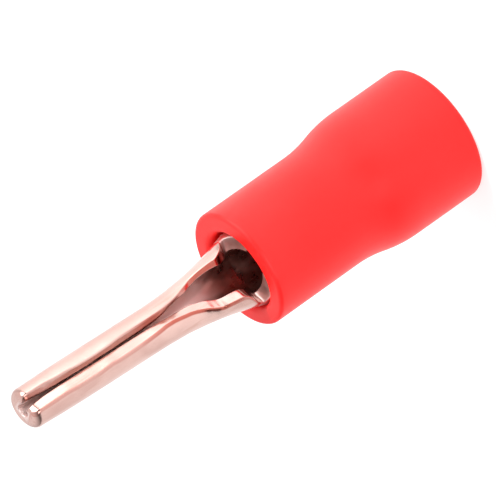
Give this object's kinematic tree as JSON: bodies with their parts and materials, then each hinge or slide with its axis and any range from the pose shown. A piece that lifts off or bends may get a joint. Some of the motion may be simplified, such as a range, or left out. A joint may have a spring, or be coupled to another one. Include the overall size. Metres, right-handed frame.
{
  "type": "insulated crimp pin terminal",
  "caption": "Crimp pin terminal: a flared insulating sleeve on a rolled barrel, with an open throat that closes into a round grooved pin.",
  "frame": {"origin": "centre of the sleeve's wire-end face, on the terminal's axis", "axes": "+Z along the axis towards the pin's tip, -Y towards the groove and the open mouth, +X across the groove"},
  "size_m": [0.006, 0.0058, 0.0216],
  "materials": {
    "sleeve_plastic": "satin",
    "tinned_copper": "bright"
  },
  "bodies": {
    "root": {"insulating_sleeve": "sleeve_plastic", "pin_contact": "tinned_copper"}
  },
  "joints": []
}
